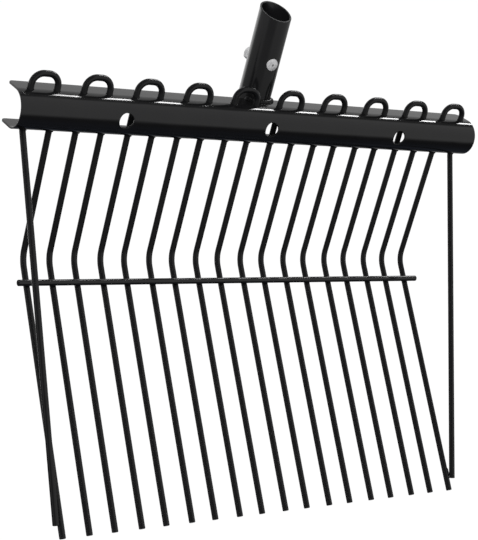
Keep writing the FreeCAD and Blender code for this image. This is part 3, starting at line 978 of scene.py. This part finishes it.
@dataclass
class SocketTube(Unit):
    """The tube with its slanted mouth, drilled for the two screws."""

    mouth: float = math.radians(19.4)
    edge: float = 0.0003
    hole: float = 0.0032
    hole_start: float = 0.004
    hole_sides: int = 48
    sides: int = 96
    rows: int = 14

    def top(self, y: float) -> float:
        """Height of the mouth's plane."""
        return (self.layout.bore_radius + y) * math.tan(self.mouth)

    def build(self) -> Shape:
        """Shape the tube's wall.

        Returns:
            Points and faces of the closed wall.
        """
        outer, inner, edge = self.layout.tube_radius, self.layout.bore_radius, self.edge
        low, rows = self.layout.underside_z, self.rows
        points: list[Vector] = []
        for turn in range(self.sides):
            angle = TAU * turn / self.sides
            across = Vector((math.cos(angle), math.sin(angle), 0))
            profile = [(outer - edge, low), (outer, low + edge)]
            rise = self.top(outer * across.y) - edge - low
            profile += [(outer, low + rise * row / rows) for row in range(1, rows + 1)]
            profile += [(outer - edge, self.top((outer - edge) * across.y))]
            profile += [(inner + edge, self.top((inner + edge) * across.y))]
            drop = self.top(inner * across.y) - edge - low
            profile += [(inner, low + drop * row / rows) for row in range(rows, 0, -1)]
            profile += [(inner, low + edge), (inner + edge, low)]
            points.extend(across * radius + Vector((0, 0, height)) for radius, height in profile)
        return points, hoop(self.sides, len(points) // self.sides)

    def drills(self) -> Shape:
        """The two bars that drill the wall, one for each screw."""
        centre, turn = Vector((0, 0, self.layout.screw_z)), self.layout.rear_turn
        ends = (self.hole_start, 2 * self.layout.tube_radius)
        ways = (Vector((0, -1, 0)), Vector((-math.sin(turn), math.cos(turn), 0)))
        return join(
            [sweep([centre + way * end for end in ends], [self.hole] * 2, self.hole_sides) for way in ways]
        )

    def dress(self) -> None:
        """Make the tube and drill it."""
        tube = add_piece("socket", self.build(), self.finishes.tube)
        drill = add_piece("drill", self.drills(), self.finishes.tube)
        cut = tube.modifiers.new("holes", "BOOLEAN")
        cut.operation = "DIFFERENCE"
        cut.solver = "EXACT"
        cut.object = drill
        drilled = bpy.data.meshes.new_from_object(tube.evaluated_get(bpy.context.evaluated_depsgraph_get()))
        tube.modifiers.clear()
        tube.data = drilled
        bpy.data.objects.remove(drill)
        drilled.set_sharp_from_angle(angle=math.radians(30))
        weigh(tube)
        hold(tube, "powder_coat", "socket_tube")


@dataclass
class SocketScrews(Unit):
    """The front screw with its low crowned head, and the rear one with a hexagon head."""

    head: float = 0.00503
    rise: float = 0.0010
    dimple: float = 0.0008
    dimple_depth: float = 0.0009
    dimple_lip: float = 0.00006
    seat: float = 0.0013
    shank: float = 0.003
    recess: float = 0.0002
    flats: float = 0.005
    hexagon: float = 0.0042
    top_radius: float = 0.00472
    top_crown: float = 0.00003
    chamfer: float = 0.0003
    chamfer_slope: float = 1.73
    sides: int = 72
    stub_sides: int = 32

    def front(self) -> Shape:
        """The low head, crowned, with a thin edge and a dimple."""
        head, rise, hole = self.head, self.rise, self.dimple
        profile = [(head, -self.seat), (head, rise * 0.10), (head - 0.00008, rise * 0.20)]
        for share in (0.96, 0.90, 0.80, 0.68, 0.54, 0.40, 0.28):
            profile.append((head * share, rise * (0.24 + 0.76 * (1 - share**2.2))))
        low = rise - self.dimple_depth
        profile += [(hole * 1.1, rise), (hole, rise - self.dimple_lip)]
        profile += [(hole * 0.9, rise - self.dimple_depth * 0.7), (hole * 0.5, low), (0.0, low)]
        origin = Vector((0, -self.layout.tube_radius, self.layout.screw_z))
        return revolve(profile, origin, Vector((0, -1, 0)), self.sides)

    def outward(self, side: int) -> Vector:
        """The way a screw points out of the tube: -1 is the front one, 1 the rear one."""
        turn = 0.0 if side < 0 else self.layout.rear_turn
        return Vector((-math.sin(turn), side * math.cos(turn), 0))

    def rear(self) -> Shape:
        """The hexagon head, a corner upwards, its corners chamfered."""
        axis = self.outward(1)
        across = axis.orthogonal().normalized()
        up = math.atan2(axis.cross(across).z, across.z)

        def limit(angle: float, height: float) -> float:
            """Reach of the hexagon and its chamfer."""
            turn = (angle - up) % (TAU / 6) - TAU / 12
            chamfered = self.top_radius + (self.hexagon - height) * self.chamfer_slope
            return min(self.flats / math.cos(turn), chamfered)

        heights = [-self.seat, *(self.hexagon - down for down in (0.0006, 0.0004, 0.0002, 0.0))]
        profile = [(2 * self.flats, height) for height in heights]
        top = self.hexagon + self.top_crown
        profile += [(self.top_radius * 0.97, top), (0.0, top)]
        origin = axis * self.layout.tube_radius + Vector((0, 0, self.layout.screw_z))
        return revolve(profile, origin, axis, self.sides, limit)

    def stub(self, side: int) -> Shape:
        """The shank in the tube's wall: -1 is the front one, 1 the rear one."""
        ends = (self.layout.bore_radius + self.recess, self.layout.tube_radius + self.recess)
        axis = [self.outward(side) * end + Vector((0, 0, self.layout.screw_z)) for end in ends]
        return cut_bar(axis, self.shank, self.chamfer, self.stub_sides)

    def dress(self) -> None:
        """Make both screws."""
        for name, side, shape in (("front", -1, self.front()), ("rear", 1, self.rear())):
            whole = join([shape, self.stub(side)])
            piece = add_piece(f"screw_{name}", whole, self.finishes.zinc, sharp=28)
            hold(piece, "zinc", f"socket_screw_{name}")


@dataclass
class WeldBeads(Unit):
    """The beads at the tube's foot, round the legs and behind the side tips."""

    foot_size: float = 0.0026
    foot_sweep: float = math.radians(104)
    foot_end: float = 0.0032
    leg_size: float = 0.0009
    tip_radius: float = 0.0017
    tip_length: float = 0.008
    tip_setback: float = 0.012
    tip_off: float = 0.002
    ripple: float = 0.0015
    least: float = 0.00001
    foot_steps: int = 110
    foot_sides: int = 20
    leg_steps: int = 60
    leg_sides: int = 12
    tip_steps: int = 40
    tip_sides: int = 16

    def foot(self, seat: float) -> Shape:
        """Bead where the tube stands on a flange, with a lump at each end.

        Args:
            seat: Height of the flange's upper face.

        Returns:
            Points and faces.
        """
        radius = self.layout.tube_radius
        half = self.foot_sweep / 2
        overlap = self.foot_end / radius
        steps = self.foot_steps
        path, radii = [], []
        for step in range(steps + 1):
            angle = (half + overlap) * (2 * step / steps - 1)
            path.append(Vector((radius * math.sin(angle), -radius * math.cos(angle), seat)))
            from_end = (half - abs(angle)) * radius
            lump = math.sqrt(max(0.0, 1 - (from_end / self.foot_end) ** 2)) * self.foot_end
            wave = math.sin(TAU * radius * angle / self.ripple)
            bead = self.foot_size * (0.92 + 0.06 * wave) if from_end > 0 else 0.0
            radii.append(max(bead, lump, self.least))
        points, faces = sweep(path, radii, self.foot_sides)
        return [self.tuck(point, seat) for point in points], faces

    def tuck(self, point: Vector, seat: float) -> Vector:
        """Keep a bead's hidden side within the tube's wall and the sheet.

        Args:
            point: A point of the bead.
            seat: Height of the flange's upper face.

        Returns:
            The point, moved if it would come out on the far side.
        """
        half_sheet = self.layout.sheet / 2
        inmost = self.layout.tube_radius - half_sheet
        flat = Vector((point.x, point.y, 0))
        if flat.length < inmost:
            flat *= inmost / flat.length
        return Vector((flat.x, flat.y, max(point.z, seat - half_sheet)))

    def ring(self, index: int, x: float) -> Shape:
        """Bead round one leg, under the lower flange.

        Args:
            index: Number of the leg.
            x: Its place.

        Returns:
            Points and faces.
        """
        layout = self.layout
        points = []
        for step in range(self.leg_steps):
            angle = TAU * step / self.leg_steps
            wave = math.sin(9 * angle + index) * 0.07 + math.sin(2 * angle + 2.4 * index) * 0.06
            thick = self.leg_size * (0.9 + wave)
            out = Vector((math.cos(angle), math.sin(angle), 0))
            middle = Vector((x, layout.wires_y, layout.underside_z)) + out * layout.wire_radius
            for turn in range(self.leg_sides):
                slope = TAU * turn / self.leg_sides
                point = middle + out * thick * math.cos(slope) + Vector((0, 0, thick * math.sin(slope)))
                point.z = min(point.z, layout.underside_z + layout.sheet / 2)
                points.append(point)
        return points, hoop(self.leg_steps, self.leg_sides)

    def tip(self, side: int) -> Shape:
        """Bead in the groove behind a side tip.

        Args:
            side: -1 for the left, 1 for the right.

        Returns:
            Points and faces.
        """
        layout = self.layout
        half_gap = layout.wire_radius + layout.touch_gap / 2
        sideways = half_gap * math.cos(layout.side_lean) + self.tip_off * math.sin(layout.side_lean)
        forward = half_gap * math.sin(layout.side_lean) - self.tip_off * math.cos(layout.side_lean)
        x = side * (layout.legs()[-2] + sideways)
        end = layout.kink(x) + layout.down * (layout.lower_tine - self.tip_setback) + layout.ahead * forward
        path, radii = [], []
        for step in range(self.tip_steps + 1):
            share = step / self.tip_steps
            path.append(end - layout.down * self.tip_length * (1 - share))
            from_end = min(share, 1 - share) * self.tip_length
            rounding = math.sqrt(max(0.0, 1 - max(0.0, 1 - from_end / self.tip_radius) ** 2))
            wave = math.sin(TAU * share * self.tip_length / self.ripple + side)
            radii.append(max(self.least, self.tip_radius * rounding * (0.94 + 0.05 * wave)))
        return sweep(path, radii, self.tip_sides)

    def dress(self) -> None:
        """Make all beads."""
        layout = self.layout
        upper, lower = layout.underside_z + layout.channel_height, layout.underside_z + layout.sheet
        rings = join([self.ring(index, x) for index, x in enumerate(layout.legs())])
        beads = {
            "foot_bead_upper": (self.foot(upper), "socket_weld_upper"),
            "foot_bead_lower": (self.foot(lower), "socket_weld_lower"),
            "leg_beads": (rings, "leg_welds"),
            "tip_beads": (join([self.tip(side) for side in (-1, 1)]), "tip_welds"),
        }
        for name, (shape, node) in beads.items():
            hold(add_piece(name, shape, self.finishes.weld), "powder_coat", node)


# Studio


def stand(
    data: bpy.types.Camera | bpy.types.Light, place: Vector, right: Vector, up: Vector
) -> Object:
    """Put a camera or light in the scene.

    Args:
        data: The camera or light.
        place: Where it stands.
        right: Direction of its picture's or surface's width.
        up: Direction of its height, square to that.

    Returns:
        The object.
    """
    thing = bpy.data.objects.new(data.name, data)
    turn = Matrix((right, up, right.cross(up).normalized())).transposed()
    thing.matrix_world = Matrix.Translation(place) @ turn.to_4x4()
    bpy.context.scene.collection.objects.link(thing)
    return thing


@dataclass(frozen=True)
class SoftLight:
    """A rectangular light, which shines along `facing` and whose width runs along `along`."""

    name: str
    place: Vector
    facing: Vector
    along: Vector
    size: Span
    power: float
    mirrored: bool = True

    def hang(self) -> None:
        """Put the light in the scene; glossy surfaces mirror it if `mirrored` says so."""
        lamp = bpy.data.lights.new(self.name, "AREA")
        lamp.shape = "RECTANGLE"
        lamp.size, lamp.size_y = self.size
        lamp.energy = self.power
        back = -self.facing.normalized()
        side = (self.along - back * self.along.dot(back)).normalized()
        stand(lamp, self.place, side, back.cross(side)).visible_glossy = self.mirrored


@dataclass
class Studio:
    """White floor, a room that is light above and behind, two soft lights, and the camera."""

    floor_z: float
    floor_reach: float = 40.0
    eye: Vector = Vector((-0.66718, -0.91663, 0.21836))
    right: Vector = Vector((0.82477, -0.51161, 0.24085))
    up: Vector = Vector((0.00045, 0.42653, 0.90447))
    lens: float = 94.05
    shift: float = -0.0243
    sensor: float = 36.0
    clip_end: float = 200.0
    room: tuple[tuple[float, Colour], ...] = (
        (0.0, (0.100, 0.112, 0.150)),
        (0.15, (0.050, 0.056, 0.074)),
        (0.26, (0.030, 0.030, 0.034)),
        (0.33, (0.060, 0.060, 0.062)),
        (0.43, (0.560, 0.560, 0.560)),
        (1.0, (0.560, 0.560, 0.560)),
    )
    zones: tuple[tuple[Vector, float, float, Colour], ...] = (
        (Vector((0.60, 0.62, -0.52)), 0.93, 0.99, (0.26, 0.26, 0.26)),
        (Vector((-0.59, -0.80, -0.10)), 0.80, 0.96, (0.20, 0.20, 0.20)),
        (Vector((-0.60, -0.35, 0.72)), 0.60, 0.88, (0.08, 0.08, 0.08)),
    )
    wall: Vector = Vector((0.17, 0.95, 0.27))
    wall_edge: Span = (0.60, 0.76)
    wall_behind: Colour = (0.55, 0.55, 0.55)
    ground_behind: Colour = (1.6, 1.6, 1.6)
    horizon: Span = (-0.10, 0.10)
    ceiling: Colour = (0.10, 0.10, 0.10)
    ceiling_side: Span = (0.20, 0.36)
    ceiling_height: Span = (0.1, 0.3)
    lights: tuple[SoftLight, ...] = (
        SoftLight(
            "key",
            place=Vector((-1.3, -1.15, 1.1)),
            facing=Vector((1.3, 1.15, -1.1)),
            along=Vector((1, -1, 0)),
            size=(1.2, 1.2),
            power=50.0,
            mirrored=False,
        ),
        SoftLight(
            "strip",
            place=Vector((0.84, 0.388, 0.93)),
            facing=Vector((0, 0, -1)),
            along=Vector((1, 0.08, 0)),
            size=(1.04, 0.15),
            power=10.0,
        ),
    )

    def floor(self) -> None:
        """Lay the floor, which only the camera sees."""
        reach = self.floor_reach
        signs = ((-1, -1), (1, -1), (1, 1), (-1, 1))
        corners = [Vector((x * reach, y * reach, self.floor_z)) for x, y in signs]
        floor = add_piece("floor", (corners, [(0, 1, 2, 3)]), StudioFloor("floor_white").material())
        floor.visible_glossy = False
        floor.visible_diffuse = False
        floor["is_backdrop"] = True

    def sky(self) -> None:
        """Make the room: dark below, light above and behind, with three zones and a dark ceiling."""
        world = bpy.data.worlds.new("sky")
        recipe = Recipe(world)
        direction = recipe.node("ShaderNodeTexCoord").outputs["Generated"]
        height = recipe.value("ShaderNodeSeparateXYZ", "Z", Vector=direction)
        room = recipe.node("ShaderNodeValToRGB", {"stops": self.room}, {"Fac": height * 0.5 + 0.5})
        colour = room.outputs["Color"]
        for aim, start, full, shade in self.zones:
            toward_aim = recipe.measure("DOT_PRODUCT", direction, aim.normalized())
            colour = recipe.blend(recipe.rise(toward_aim, start, full), colour, shade)
        toward_wall = recipe.measure("DOT_PRODUCT", direction, self.wall.normalized())
        ceiling = recipe.rise(toward_wall, *self.ceiling_side) * recipe.rise(height, *self.ceiling_height)
        colour = recipe.blend(ceiling, colour, self.ceiling)
        behind = recipe.blend(recipe.rise(height, *self.horizon), self.ground_behind, self.wall_behind)
        colour = recipe.blend(recipe.rise(toward_wall, *self.wall_edge), colour, behind)
        shader = recipe.node("ShaderNodeBackground", None, {"Color": colour, "Strength": 1.0})
        recipe.end(shader, "ShaderNodeOutputWorld")
        bpy.context.scene.world = world

    def camera(self) -> None:
        """Set up the camera."""
        lens = bpy.data.cameras.new("camera")
        lens.lens = self.lens
        lens.sensor_width = self.sensor
        lens.sensor_fit = "AUTO"
        lens.shift_y = self.shift
        lens.clip_end = self.clip_end
        bpy.context.scene.camera = stand(lens, self.eye, self.right, self.up)

    def set_up(self) -> None:
        """Make the whole studio."""
        bpy.context.scene.view_settings.view_transform = "Standard"
        self.floor()
        self.sky()
        for light in self.lights:
            light.hang()
        self.camera()
        LOG.info("studio: floor, sky, %d lights, camera", len(self.lights))


def main() -> None:
    """Build the fork's head in order, then the studio round it."""
    logging.basicConfig(level=logging.INFO, format="%(name)s: %(message)s")
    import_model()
    solid_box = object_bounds()
    layout = Layout()
    finishes = Finishes()
    hairpins = [Hairpin(layout, finishes, index) for index in range(layout.hairpin_count)]
    others = [kind(layout, finishes) for kind in (Crossbar, SocketTube, SocketScrews, WeldBeads)]
    for unit in (HeadChannel(layout, finishes), *hairpins, *others):
        unit.dress()
    Studio(floor_z=solid_box[0][2]).set_up()


if __name__ == "__main__":
    main()
